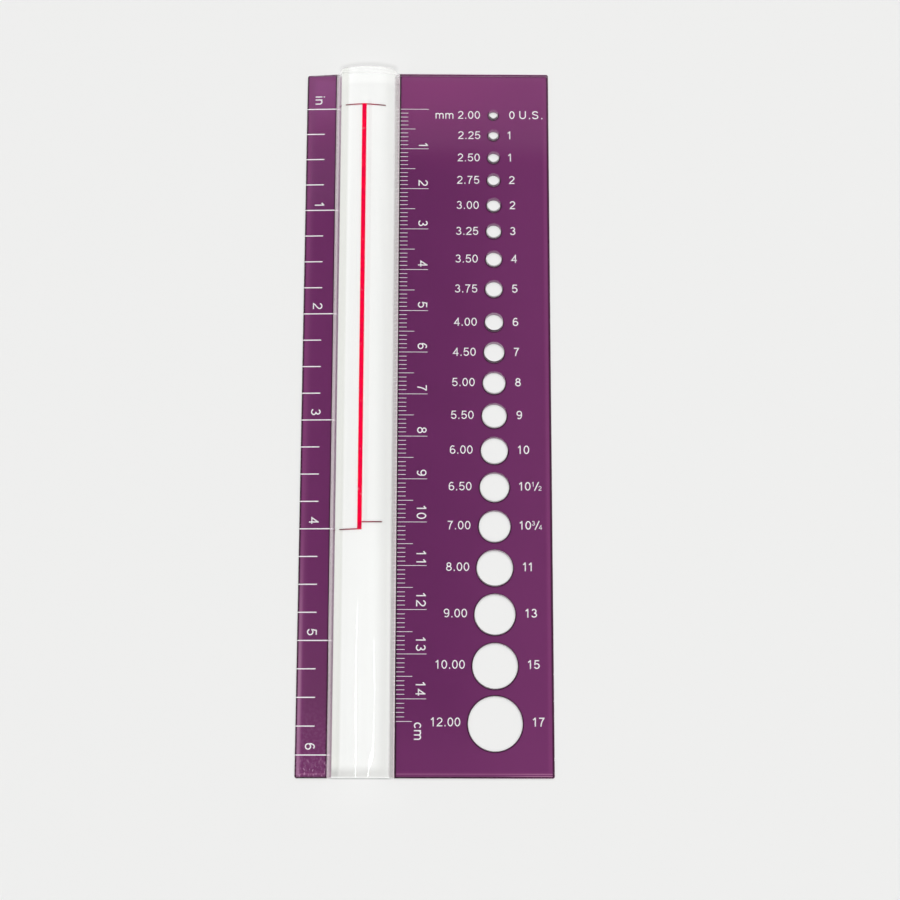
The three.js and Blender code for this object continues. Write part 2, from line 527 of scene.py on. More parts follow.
@made_once("bar_acrylic")
def bar_acrylic(n):
    """Clear acrylic of the magnifier bar, with faint draw lines along it. Painted shade greys the
    shoulders, the near end and two thin lines at the far end; the flanks carry a painted
    reflection of the prints beside them, dull pink with a painted light line; more light let
    through near the far end makes it white."""
    place, x, y, height = n.coordinates()
    across = n.math("SUBTRACT", x, BAR_CENTRE)
    from_far = n.math("SUBTRACT", BAR_HIGH.y, y)
    from_near = n.math("SUBTRACT", y, BAR_LOW.y)
    clear = tuple(colours().acrylic)
    drawn = n.noise(place, 1.0, 3.0, (900, 5, 200))

    # Painted shade at the near end, greyer to the left
    band = n.lay(
        (0.66, 0.66, 0.645),
        (n.ramp(across, 1, -5), (0.57, 0.57, 0.555)),
        (n.ramp(across, -4.5, -5.1), (0.39, 0.395, 0.38)))

    # Shade beside the red line, as far as the line goes
    beside = n.times(
        n.ramp(n.away(across, 0.6 * MM), 0.6, 0.3),
        n.ramp(y, -27.5, -26), n.ramp(from_far, 8, 9.5), 0.5)

    # Painted reflection of the prints beside the flanks: light at the foot, darker above, a little
    # darker along the draw lines and painted lighter near the far end
    inner = n.lay(
        (0.08, 0.035, 0.07),
        (n.ramp(y, -50, -78), (0.18, 0.10, 0.14)),
        (n.ramp(y, 50, 75), (0.22, 0.16, 0.20)))
    foot = n.lay(
        (0.86, 0.71, 0.76),
        (n.ramp(y, -50, -65), (0.74, 0.57, 0.65)),
        (n.ramp(y, 35, 60), (1.0, 0.86, 0.93)))
    left = n.blend(n.ramp(across, -7.3, -6.5), foot, inner)
    right = n.blend(n.ramp(across, 7.18, 7.26), (0.41, 0.395, 0.38), (0.88, 0.70, 0.77))
    flank = n.lay(
        n.blend(n.ramp(across, -1, 1), left, right),
        (n.fade(drawn, 0.4, 0.65, 0.0, 0.2), (0.45, 0.40, 0.41)),
        (n.ramp(from_far, 2.2, 1.2, 0.0, 0.8), (0.85, 0.84, 0.84)))

    # Grey of the painted shade lines at the far end
    shade_line_grey = (0.5, 0.5, 0.49)
    # Painted shade on the shoulders, at the near end and in two thin lines at the far end, then the
    # painted flanks, over faint draw lines
    tint = n.lay(
        clear,
        (n.fade(drawn, 0.35, 0.7), scaled(clear, 0.985)),
        (n.ramp(across, -4.2, -4.85), (0.735, 0.745, 0.695)),
        (n.ramp(across, 2.2, 5.8), (0.74, 0.74, 0.725)),
        (n.ramp(from_near, 3.0, 0.8), band),
        (n.ramp(from_near, 0.27, 0.2), clear),
        (n.ramp(from_far, 0.32, 0.24, 0.0, 0.55), shade_line_grey),
        (n.ramp(n.away(from_far, 0.85 * MM), 0.35, 0.15, 0.0, 0.13), shade_line_grey),
        (beside, (0.80, 0.765, 0.765)),
        (n.ramp(across, -6.2, -6.32), flank),
        (n.ramp(across, 6.4, 6.52), flank))
    tint = n.blend(n.ramp(height, 0.5, 1.0), clear, tint)

    # How much light reaches the base: a little more beyond the red line and at both ends
    glow = stage().bar_glow
    beyond_line = n.lay(
        grey(glow * 1.014),
        (n.ramp(across, 0.8, 2.2), grey(glow * 1.03)),
        (n.ramp(across, -4.2, -5.2), grey(glow * 0.997)))
    gain = n.lay(
        grey(glow),
        (n.ramp(y, -22, -34), beyond_line),
        (n.ramp(from_near, 6, 3.5), grey(glow * 1.036)),
        (n.ramp(from_far, 2.7, 2.4), grey(glow * 1.063)),
        (n.ramp(n.math("ABSOLUTE", across), 6.2, 6.4), grey(0.8)),
        (n.ramp(from_far, 0.04, 0.01), grey(1.0)),
        (n.ramp(from_near, 0.04, 0.01), grey(1.0)))

    # No gloss over the red line, which stays a pure red
    off_line = n.ramp(n.away(across, LINE_OFFSET), 0.55, 0.85)
    for limit in (n.ramp(y, -26.8, -28), n.ramp(y, 74.5, 75.5)):
        off_line = n.math("MAXIMUM", off_line, limit)
    gloss = n.blend(off_line, grey(0.1), grey(1.0))
    clear_shader(n, tint, scratches(n, place, 0.01, 0.07), gain, gloss)


@made_once("purple_ink")
def purple_ink(n):
    """The purple print, with painted light and shade: a painted dark outline, a painted highlight
    band inside it and painted lighter tones; and its own scuffs, mottling and specks.
    """
    place, x, y, _ = n.coordinates()
    from_side = n.math("SUBTRACT", PLATE_HIGH.x, n.math("ABSOLUTE", x))
    from_end = n.math("SUBTRACT", PLATE_HIGH.y, n.math("ABSOLUTE", y))
    from_edge = n.math("MINIMUM", from_side, from_end)
    from_near = n.math("SUBTRACT", y, PLATE_LOW.y)
    from_seam = n.away(n.away(x, BAR_CENTRE), HALF_BAR)
    on_rule = n.math("LESS_THAN", x, RULE_SIDE)
    full = tuple(colours().purple)

    # Uneven purple, then painted light: lighter towards the far end, to either side, along the rule
    # and its outer edge, and at the near end
    colour = n.lay(
        scaled(full, 0.95),
        (n.fade(n.noise(place, 70, 6.0), 0.3, 0.7), full),
        (n.ramp(y, 55, 82, 0.0, 0.9), FAR_TONE),
        (n.ramp(x, 0, 26, 0.0, 0.45), LIGHTER),
        (n.times(on_rule, 0.25), LIGHTER),
        (n.times(on_rule, n.ramp(y, -30, -75, 0.0, 0.8)), RULE_NEAR_TONE),
        (n.times(on_rule, n.ramp(y, 68, 82, 0.0, 0.5)), RULE_FAR_TONE),
        (n.ramp(x, -26.2, -27.8, 0.0, 0.6), RULE_EDGE_TONE),
        (n.ramp(y, -64, -79, 0.0, 0.4), LIGHTER),
        (n.times(n.ramp(x, 6, 24), n.ramp(y, -15, -60), 0.3), LIGHTER))

    # Painted highlights: a lighter band inside the outline, a sheen along the rule's outer
    # edge and two thin pink lines inside the near edge; the near edge also gets painted shade
    colour = n.lay(
        colour,
        (n.times(n.ramp(from_edge, 0.42, 0.6), n.ramp(from_edge, 1.7, 0.8), 0.75), BAND),
        (n.times(n.ramp(y, -20, -72), on_rule, n.ramp(from_side, 1.45, 0.72)), RULE_EDGE_SHEEN),
        (n.ramp(from_near, 0.8, 0.65, 0.0, 0.35), OUTLINE))
    for inset, least, most in ((0.97 * MM, 0.4, 0.8), (0.49 * MM, 0.15, 1.0)):
        thin = n.ramp(n.away(from_near, inset), 0.15, 0.07)
        colour = n.blend(n.times(thin, n.ramp(x, 14, 26, least, most)), colour, PINK_LINE)

    # Painted shade: a dark outline, and a dark line along the seams that is slightly ragged
    # like the print's edge. Beside the seams lies a pale edge of bare plastic
    ragged = n.times(n.math("SUBTRACT", n.noise(place, 2600, 2.0), 0.5), 0.14 * MM)
    seam = n.math("ADD", from_seam, ragged)
    bare = n.times(n.ramp(x, -20, -10, 0.15 * MM, 0.04 * MM), n.ramp(y, -45, -62, 1.0, 0.4))
    colour = n.lay(
        colour,
        (n.ramp(from_side, 0.44, 0.36, 0.0, 0.95), OUTLINE),
        (n.times(n.ramp(from_end, 0.36, 0.28), n.ramp(y, -1, 1, 1.0, 0.45)),
         n.blend(n.ramp(y, -1, 1), NEAR_OUTLINE, OUTLINE)),
        (n.ramp(seam, 0.75, 0.3, 0.0, 0.35), OUTLINE),
        (n.ramp(seam, 0.42, 0.34, 0.0, 0.95), SEAM_LINE),
        (n.math("LESS_THAN", from_seam, bare), BARE_PLASTIC))

    # Mottling and scuffs at the near end of the inch rule, and a few pale specks anywhere
    mottle = n.fade(n.noise(place, 1500, 4.0), 0.42, 0.66)
    scuff = n.fade(n.noise(place, 1.0, 5.0, (2600, 1300, 900), 0.5), 0.55, 0.68)
    specks = n.add("TexVoronoi", Vector=place, Scale=75.0, Randomness=1.0).outputs["Distance"]
    colour = n.lay(
        colour,
        (n.times(mottle, on_rule, n.ramp(y, -60, -80, 0.0, 0.3)), MOTTLE),
        (n.times(scuff, on_rule, n.ramp(y, -77, -82), n.ramp(from_end, 0.3, 0.45)), SCUFF),
        (n.times(n.fade(specks, 0.012, 0.007), 0.7), SPECK))
    matt_shader(n, colour)


def uneven_ink(n, waves, thin, full):
    """Ink of two tones that pass softly into one another."""
    noise = n.noise(n.coordinates()[0], waves, 3.0)
    matt_shader(n, n.blend(n.fade(noise, 0.35, 0.65), thin, full))


@made_once("dark_purple_ink")
def dark_ink(n):
    """Darker purple in a ring round each needle hole: painted shade of the hole's edge."""
    uneven_ink(n, 900, (0.035, 0.007, 0.026), (0.055, 0.010, 0.042))


@made_once("white_ink")
def white_ink(n):
    """White screen ink, a little thin in places."""
    full = tuple(colours().white)
    uneven_ink(n, 2500, scaled(full, 0.92), full)


@made_once("red_ink")
def red_ink(n):
    """Red filling of the scribed line: full in the broad line but for faint nicks, darker
    at its near end, thin and dull in its marks."""
    place, x, y, _ = n.coordinates()
    from_line = n.away(x, BAR_CENTRE + LINE_OFFSET)
    nick = n.fade(n.noise(place, 700, 2.0), 0.70, 0.74)
    mark = n.blend(
        n.ramp(from_line, 0.8, 3.6, 0.0, 0.8), tuple(colours().marks), (0.10, 0.008, 0.02))
    colour = n.lay(
        (0.85, 0.002, 0.05),
        (n.fade(n.noise(place, 900, 4.0), 0.35, 0.65), tuple(colours().red)),
        (n.times(nick, 0.4), (0.9, 0.4, 0.45)),
        (n.ramp(y, -25.6, -26.4), (0.72, 0.002, 0.045)),
        (n.ramp(from_line, 0.39, 0.44), mark))
    matt_shader(n, colour)


# Figures: each drawn by strokes of a pen, in a cell one figure high


def arc(cx, cy, rx, ry, start, end):
    """Points along an arc of an ellipse, angles in degrees."""
    steps = max(4, int(abs(end - start) / 15))
    angles = (math.radians(start + (end - start) * i / steps) for i in range(steps + 1))
    return [(cx + rx * math.cos(a), cy + ry * math.sin(a)) for a in angles]


def bow(a, b, c, d):
    """Points along a cubic curve."""
    steps = 8
    points = []
    for i in range(steps + 1):
        t = i / steps
        u = 1 - t
        weights = (u * u * u, 3 * u * u * t, 3 * u * t * t, t * t * t)
        points.append(tuple(sum(w * p[k] for w, p in zip(weights, (a, b, c, d))) for k in (0, 1)))
    return points


def glyph_strokes():
    """Strokes and advance of every figure and letter, in figure heights. A stroke that
    ends where it began is a ring."""
    wide, top, foot = 0.776, 0.938, 0.062
    full = (0, 360)
    six = [arc(0.415, 0.5, 0.285, 0.44, 52, 188), arc(0.40, 0.315, 0.262, 0.255, *full)]
    nine = [[(wide - x, 1 - y) for x, y in stroke] for stroke in six]
    return {
        "0": ([arc(0.387, 0.5, 0.266, 0.44, *full)], wide),
        "1": ([[(0.46, 0), (0.46, 1)],
               bow((0.205, 0.745), (0.31, 0.79), (0.40, 0.88), (0.46, 0.985))], wide),
        "2": ([arc(0.385, 0.70, 0.262, 0.238, 172, -28)
               + bow((0.60, 0.56), (0.48, 0.40), (0.22, 0.27), (0.125, foot))[1:]
               + [(0.70, foot)]], wide),
        "3": ([arc(0.37, 0.727, 0.225, 0.211, 160, -88),
               arc(0.375, 0.288, 0.268, 0.226, 92, -165)], wide),
        "4": ([[(0.52, 0), (0.52, 1)], [(0.515, 0.93), (0.085, 0.29), (0.71, 0.29)]], wide),
        "5": ([[(0.66, top), (0.215, top), (0.145, 0.50)]
               + arc(0.385, 0.33, 0.27, 0.268, 138, -162)], wide),
        "6": (six, wide),
        "7": ([[(0.095, top), (0.63, top)]
               + bow((0.61, 0.88), (0.43, 0.66), (0.325, 0.36), (0.29, 0))], wide),
        "8": ([arc(0.387, 0.738, 0.215, 0.2, *full), arc(0.387, 0.292, 0.266, 0.23, *full)], wide),
        "9": (nine, wide),
        ".": ([[(0.197, 0), (0.197, 0.15)]], 0.388),
        "i": ([[(0.154, 0), (0.154, 0.725)], [(0.154, 0.86), (0.154, 1)]], 0.31),
        "n": ([[(0.154, 0), (0.154, 0.725)],
               arc(0.388, 0.45, 0.234, 0.225, 168, 0) + [(0.622, 0)]], wide),
        "m": ([[(0.154, 0), (0.154, 0.725)],
               arc(0.37, 0.47, 0.214, 0.205, 168, 0) + [(0.584, 0)],
               arc(0.80, 0.47, 0.214, 0.205, 166, 0) + [(1.014, 0)]], 1.164),
        "c": ([arc(0.375, 0.363, 0.262, 0.312, 38, 322)], 0.698),
        "U": ([[(0.176, 1), (0.176, 0.36)] + arc(0.503, 0.36, 0.327, 0.298, 180, 360)[1:]
               + [(0.83, 1)]], 1.09),
        "S": ([arc(0.455, 0.737, 0.295, 0.201, 12, 205)
               + bow((0.20, 0.64), (0.28, 0.52), (0.64, 0.53), (0.74, 0.38))[1:]
               + arc(0.46, 0.267, 0.318, 0.205, 22, -172)[1:]], 1.015),
        "/": ([[(0.13, -0.02), (0.62, 1.02)]], 0.75),
        " ": ([], 0.3),
    }


def glyph_solid(strokes, weight):
    """A solid drawn by a pen of one weight, 1 high and 1 thick, its foot at 0."""
    parts = []
    for i, points in enumerate(strokes):
        ring = math.dist(points[0], points[-1]) < 1e-6
        curve = bpy.data.curves.new("stroke", "CURVE")
        curve.dimensions = "3D"
        spline = curve.splines.new("POLY")
        points = points[:-1] if ring else points
        spline.points.add(len(points) - 1)
        for point, (x, y) in zip(spline.points, points):
            point.co = (x, y, 0, 1)
        spline.use_cyclic_u = ring
        # Each stroke is a touch thinner than the last, so that no faces coincide in the joins
        curve.extrude = 0.5 * (1 - 0.01 * i)
        stroke = bpy.data.objects.new("stroke", curve)
        bpy.context.scene.collection.objects.link(stroke)
        pick(stroke)
        bpy.ops.object.convert(target="MESH")
        stroke = bpy.context.object
        solidify = stroke.modifiers.new("Weight", "SOLIDIFY")
        solidify.thickness = weight
        solidify.offset = 0
        solidify.use_even_offset = True
        bpy.ops.object.modifier_apply(modifier=solidify.name)
        parts.append(stroke)
    solid = parts[0]
    for part in parts[1:]:
        apply_boolean(solid, part, "UNION")
    return solid


def write_line(text, height, masters, gap):
    """Glyphs of a line of text: (glyph, x, y, scale) and its visible left and right ends.
    Two ones stand closer, except in a line with wide gaps."""
    strokes = glyph_strokes()
    laid, x = [], 0.0
    small = {"½": ("1", "2"), "¾": ("3", "4")}
    for last, letter in zip(" " + text, text):
        x += gap - 0.125 if last + letter == "11" and gap < 0.05 else gap
        if letter in small:
            upper, lower = small[letter]
            laid += [
                (upper, x - 0.02, 0.48, 0.53), ("/", x + 0.24, 0, 1), (lower, x + 0.80, 0, 0.53)]
            x += 1.3
            continue
        if strokes[letter][0]:
            laid.append((letter, x, 0, 1))
        x += strokes[letter][1]
    ends = []
    for letter, gx, _, scale in laid:
        points = [v.co.x for v in masters[letter].data.vertices]
        ends += [gx + scale * min(points), gx + scale * max(points)]
    placed = [(letter, gx * height, gy * height, scale * height) for letter, gx, gy, scale in laid]
    return placed, min(ends) * height, max(ends) * height


def drop(objects):
    for obj in objects:
        bpy.data.objects.remove(obj, do_unlink=True)


def ink_heights():
    """Between which heights the raised white ink lies."""
    s = sizes()
    return s.ink - 0.5 * s.ink, s.ink + 3 * s.bite


def figure_piece(name, lines, weight=1.0, gap=0.025):
    """One white piece of many lines of text. Each line is (text, height, anchor, align,
    upright): align is left or right for the visible end that stands at the anchor."""
    low, top = ink_heights()
    stroke = sizes().stroke * weight
    masters = {
        letter: glyph_solid(strokes, stroke)
        for letter, (strokes, _) in glyph_strokes().items() if strokes
    }
    copies = []
    for text, height, anchor, align, upright in lines:
        glyphs, left, right = write_line(text, height, masters, gap)
        shift = -left if align == "left" else -right
        turn = Matrix.Identity(4) if upright else Matrix.Rotation(-math.pi / 2, 4, "Z")
        for letter, gx, gy, scale in glyphs:
            flat = Matrix.Diagonal((scale, scale, top - low, 1))
            within = Matrix.Translation((gx + shift, gy, 0)) @ flat
            place = Matrix.Translation((anchor[0], anchor[1], (low + top) / 2)) @ turn @ within
            copies.append(copy_of(masters[letter], place))
    drop(masters.values())
    piece = join_all(name, copies)
    return finish_piece(piece, white_ink(), "white_ink")


def tick_piece(name, ticks, width):
    """One piece of many ticks. Each tick is (left, right, y)."""
    low, top = ink_heights()
    master = add_block("tick", (0, -width / 2, low), (MM, width / 2, top))
    bevel_edges(master, upright, width / 4, 2)
    bars = []
    for left, right, y in ticks:
        place = Matrix.Translation((left, y, 0)) @ Matrix.Diagonal(((right - left) / MM, 1, 1, 1))
        bars.append(copy_of(master, place))
    drop([master])
    piece = join_all(name, bars)
    return finish_piece(piece, white_ink(), "white_ink")


def hang_tube(name, bends, watts):
    """Flat lamps end to end along a bent line a metre up, hidden behind clear pieces."""
    for i, (start, end) in enumerate(zip(bends, bends[1:])):
        start, width = Vector((start[0], start[1], 1)), (start[2] + end[2]) / 2
        end = Vector((end[0], end[1], 1))
        along = end - start
        bpy.ops.object.light_add(type="AREA", location=(start + end) / 2)
        lamp = bpy.context.object
        lamp.name = f"{name}_{i}"
        lamp.data.shape = "RECTANGLE"
        lamp.data.size = along.length
        lamp.data.size_y = width
        lamp.data.energy = watts * along.length * width / TUBE_AREA
        lamp.rotation_euler = (0, 0, math.atan2(along.y, along.x))
        lamp.visible_transmission = False


# Operators, one for each piece or group of like pieces


class GaugeOperator:
    bl_options = {"REGISTER", "UNDO"}


def hole_radius(size):
    return (float(size) * MM + NEEDLE_ALLOWANCE) / 2


def hole_cutter(extra, low, high):
    """All the needle holes as rods in one mesh."""
    rods = []
    for size, _, below in NEEDLES:
        radius, y = hole_radius(size), ZERO_Y - below * MM
        sides = 48 if radius < 2.5 * MM else 96
        rods.append(add_rod(
            "needle_hole", radius + extra, (HOLE_X, y, low), (HOLE_X, y, high), "Z", sides))
    return join_all("needle_holes", rods)


def on_rim(point):
    """True for a point on the wall of a needle hole."""
    return any(
        near(math.hypot(point.x - HOLE_X, point.y - (ZERO_Y - below * MM)), hole_radius(size), 2e-6)
        for size, _, below in NEEDLES)


class GAUGE_OT_gauge_plate(GaugeOperator, bpy.types.Operator):
    """Model the clear gauge plate with its rounded edges and needle holes"""

    bl_idname = "gauge.gauge_plate"
    bl_label = "Gauge plate"

    def execute(self, context):
        s = sizes()
        low = Vector((PLATE_LOW.x + s.seam / 2, PLATE_LOW.y, s.ink))
        plate = add_block("gauge_plate_acrylic", low, PLATE_HIGH)
        bevel_edges(plate, lambda a, b: upright(a, b) and near(a.x, PLATE_HIGH.x), s.corner, 8)
        bevel_edges(
            plate, lambda a, b: both(a, b, "z", PLATE_HIGH.z) and not both(a, b, "x", low.x),
            s.plate_edge, 5)
        apply_boolean(plate, hole_cutter(0, -MM, 5 * MM), "DIFFERENCE")
        bevel_edges(
            plate, lambda a, b: both(a, b, "z", PLATE_HIGH.z) and on_rim(a) and on_rim(b),
            s.hole_rim, 2)
        smooth(plate)
        finish_piece(plate, strip_acrylic(), "clear_acrylic", "gauge_plate")
        return {"FINISHED"}


class GAUGE_OT_plate_print(GaugeOperator, bpy.types.Operator):
    """Model the purple print on the back of the gauge plate"""

    bl_idname = "gauge.plate_print"
    bl_label = "Plate print"

    def execute(self, context):
        s = sizes()
        edge = 3 * s.bite
        layer = add_block(
            "gauge_plate_purple_print",
            (PLATE_LOW.x + s.seam, PLATE_LOW.y + edge, 0),
            (PLATE_HIGH.x - edge, PLATE_HIGH.y - edge, s.ink + s.bite))
        bevel_edges(layer, lambda a, b: upright(a, b) and a.x > PLATE_HIGH.x - MM, s.corner, 8)
        apply_boolean(layer, hole_cutter(edge, -MM, MM), "DIFFERENCE")
        finish_piece(layer, purple_ink(), "purple_ink", "gauge_plate_back_print")

        # A ring of darker ink round each hole, painted shade of the hole's edge
        rings = hole_cutter(edge + s.hole_ring, s.ink / 2, s.ink + 2 * s.bite)
        apply_boolean(rings, hole_cutter(edge, -MM, MM), "DIFFERENCE")
        rings.name = "hole_rings"
        finish_piece(rings, dark_ink(), "purple_ink")
        return {"FINISHED"}


class GAUGE_OT_inch_rule(GaugeOperator, bpy.types.Operator):
    """Model the clear inch rule, a wedge that thins to its free edge"""

    bl_idname = "gauge.inch_rule"
    bl_label = "Inch rule"

    def execute(self, context):
        s = sizes()
        high = Vector((RULE_HIGH.x - s.seam / 2, RULE_HIGH.y, RULE_HIGH.z))
        rule = add_block("inch_rule_acrylic", (RULE_LOW.x, RULE_LOW.y, s.ink), high)
        for point in rule.data.vertices:
            if near(point.co.z, high.z) and near(point.co.x, RULE_LOW.x):
                point.co.z = s.rule_outer_top
        bevel_edges(rule, lambda a, b: upright(a, b) and near(a.x, RULE_LOW.x), s.corner, 8)
        above_print = s.ink + 0.1 * MM
        bevel_edges(
            rule, lambda a, b: min(a.z, b.z) > above_print and not both(a, b, "x", high.x),
            s.rule_edge, 6)
        smooth(rule)
        finish_piece(rule, strip_acrylic(), "clear_acrylic", "inch_rule")
        return {"FINISHED"}


class GAUGE_OT_rule_print(GaugeOperator, bpy.types.Operator):
    """Model the purple print on the back of the inch rule"""

    bl_idname = "gauge.rule_print"
    bl_label = "Rule print"

    def execute(self, context):
        s = sizes()
        edge = 3 * s.bite
        layer = add_block(
            "inch_rule_purple_print",
            (RULE_LOW.x + edge, RULE_LOW.y + edge, 0),
            (RULE_HIGH.x - s.seam, RULE_HIGH.y - edge, s.ink + s.bite))
        bevel_edges(layer, lambda a, b: upright(a, b) and a.x < RULE_LOW.x + MM, s.corner, 8)
        finish_piece(layer, purple_ink(), "purple_ink", "inch_rule_back_print")
        return {"FINISHED"}


class GAUGE_OT_magnifier_bar(GaugeOperator, bpy.types.Operator):
    """Model the clear magnifier bar: leaning flanks under a shallow dome"""

    bl_idname = "gauge.magnifier_bar"
    bl_label = "Magnifier bar"

    def execute(self, context):
        s = sizes()
        half_chord = HALF_BAR - s.flank_run
        shoulder = BAR_HIGH.z - s.dome_rise
        radius = (half_chord**2 + s.dome_rise**2) / (2 * s.dome_rise)
        foot_left, foot_right = RULE_HIGH.z, PLATE_HIGH.z

        # A block as high as the feet of the flanks
        bar = add_block(
            "magnifier_bar_acrylic", (BAR_LOW.x + s.seam / 2, BAR_LOW.y, s.bite),
            (BAR_HIGH.x - s.seam / 2, BAR_HIGH.y, shoulder))
        for point in bar.data.vertices:
            if near(point.co.z, shoulder):
                point.co.z = foot_left if point.co.x < BAR_CENTRE else foot_right

        # Its top drawn up along the flanks to above the dome
        clear_selection(bar, "FACE")
        for face in bar.data.polygons:
            face.select = face.center.z > s.bite + 1.1 * MM and abs(face.normal.z) > 0.9
        bpy.ops.object.mode_set(mode="EDIT")
        bpy.ops.mesh.extrude_region_move()
        bpy.ops.object.mode_set(mode="OBJECT")
        rise = shoulder + (s.dome_rise + MM)
        for point in bar.data.vertices:
            if point.select:
                side = -1 if point.co.x < BAR_CENTRE else 1
                foot = foot_left if side < 0 else foot_right
                lean = s.flank_run * (rise - foot) / (shoulder - foot)
                point.co.x = BAR_CENTRE + side * (HALF_BAR - lean)
                point.co.z = rise

        dome = add_rod(
            "dome", radius, (BAR_CENTRE, BAR_LOW.y - MM, BAR_HIGH.z - radius),
            (BAR_CENTRE, BAR_HIGH.y + MM, BAR_HIGH.z - radius), "Y", 720)
        apply_boolean(bar, dome, "INTERSECT")
        bevel_edges(
            bar, lambda a, b: both(a, b, "z", shoulder, 2e-5) and abs(a.y - b.y) > 0.1,
            s.shoulder_round, 4)
        above_feet = 2.2 * MM
        bevel_edges(
            bar,
            lambda a, b: max(a.z, b.z) > above_feet
            and (both(a, b, "y", BAR_LOW.y) or both(a, b, "y", BAR_HIGH.y)),
            s.bar_end, 3)
        smooth(bar)
        finish_piece(bar, bar_acrylic(), "clear_acrylic", "magnifier_bar")
        return {"FINISHED"}


class GAUGE_OT_stitch_line(GaugeOperator, bpy.types.Operator):
    """Model the red line with its cross marks"""

    bl_idname = "gauge.stitch_line"
    bl_label = "Stitch line"

    def execute(self, context):
        s = sizes()
        top = s.ink + s.bite
        centre = BAR_CENTRE + LINE_OFFSET
        zero_y = ZERO_Y + ZERO_LIFT
        inch_y = ZERO_Y - 4 * INCH - END_DROP - MARK_WIDTH
        metric_y = ZERO_Y - 100 * MM - END_DROP - MARK_WIDTH
        line = add_block(
            "stitch_line", (centre - LINE_WIDTH / 2, inch_y, 0),
            (centre + LINE_WIDTH / 2, zero_y + MARK_WIDTH, top))

        # The marks were scribed by hand, and their ends hang or rise a little
        for name, left, right, low_y, hang in (
            ("zero_mark_left", -3.6, 0.1, zero_y, 0.13),
            ("zero_mark_right", -0.1, 4.0, zero_y, 0.25),
            ("inch_mark", -3.7, 0, inch_y, 0.15),
            ("metric_mark", 0, 4.15, metric_y, -0.08),
        ):
            mark = add_block(
                name, (centre + left * MM, low_y, 0),
                (centre + right * MM, low_y + MARK_WIDTH, top))
            for vertex in mark.data.vertices:
                if abs(vertex.co.x - centre) > MM:
                    vertex.co.y -= hang * MM
            apply_boolean(line, mark, "UNION")
        finish_piece(line, red_ink(), "red_ink", "stitch_line_print")
        return {"FINISHED"}


class GAUGE_OT_scales(GaugeOperator, bpy.types.Operator):
    """Model the white ticks and figures of the inch rule and the centimetre rule"""

    bl_idname = "gauge.scales"
    bl_label = "Scales"

    def execute(self, context):
        s = sizes()
        left, right = RULE_LOW.x + 0.12 * MM, RULE_HIGH.x - 0.12 * MM
        ticks = []
        for i in range(INCH_MARKS + 1):
            end = right if i % 4 == 0 else RULE_LOW.x + QUARTER_REACH
            ticks.append((left, end, ZERO_Y - i * INCH / 4))
        tick_piece("inch_ticks", ticks, INCH_TICK)

        left = PLATE_LOW.x + 0.28 * MM
        ticks = []
        for i in range(CM_MARKS + 1):
            reach = CM_REACH if i % 10 == 0 else HALF_CM_REACH if i % 5 == 0 else MM_REACH
            ticks.append((left, PLATE_LOW.x + reach, ZERO_Y - i * MM))
        tick_piece("centimetre_ticks", ticks, CM_TICK)

        height = s.scale_figure
        lines = [
            ("in", height,
             (RULE_LOW.x + INCH_SIGN[0], ZERO_Y + INCH_SIGN[1]), "right", False),
            ("cm", height * 0.975,
             (PLATE_LOW.x + CM_SIGN[0], ZERO_Y + CM_SIGN[1]), "right", False),
        ]
        figure_piece("unit_marks", lines, weight=1.04)

        lines = []
        for i in range(1, 7):
            anchor = (RULE_LOW.x + INCH_FIGURE[0], ZERO_Y - i * INCH + INCH_FIGURE[1])
            lines.append((str(i), height, anchor, "right", False))
        figure_piece("inch_figures", lines)

        lines = []
        for i in range(1, 15):
            anchor = (PLATE_LOW.x + CM_FIGURE[0], ZERO_Y - i * 10 * MM + CM_FIGURE[1])
            lines.append((str(i), height * 0.985, anchor, "right", False))
        figure_piece("centimetre_figures", lines, gap=0.075)
        return {"FINISHED"}


class GAUGE_OT_size_figures(GaugeOperator, bpy.types.Operator):
    """Model the needle sizes beside the holes"""

    bl_idname = "gauge.size_figures"
    bl_label = "Size figures"

    def execute(self, context):
        s = sizes()
        height = s.size_figure
        metric, american = [], []
        for size, us_size, below in NEEDLES:
            # Gaps between the hole and its figures, as on the real gauge
            radius = hole_radius(size)
            foot = ZERO_Y - below * MM + (0.13 + 0.002 * below) * MM - height / 2
            left_gap = 1.92 * MM if float(size) < 7.5 else 1.7 * MM
            right_gap = 2.16 * MM if float(size) < 3.6 else 2.3 * MM
            if size == NEEDLES[0][0]:
                left_gap, right_gap = 2.1 * MM, 2.72 * MM
            elif us_size == "10¾":
                right_gap = 2.1 * MM
            metric.append((size, height, (HOLE_X - radius - left_gap, foot), "right", True))
            american.append((us_size, height, (HOLE_X + radius + right_gap, foot), "left", True))
        foot = ZERO_Y - NEEDLES[0][2] * MM + 0.13 * MM - height / 2
        metric.append(("mm", height, (PLATE_LOW.x + 8.6 * MM, foot), "left", True))
        american.append(("U.S.", height * 1.03, (PLATE_LOW.x + 28.62 * MM, foot), "left", True))
        figure_piece("metric_size_figures", metric, weight=0.96)
        figure_piece("us_size_figures", american, weight=1.07)
        return {"FINISHED"}


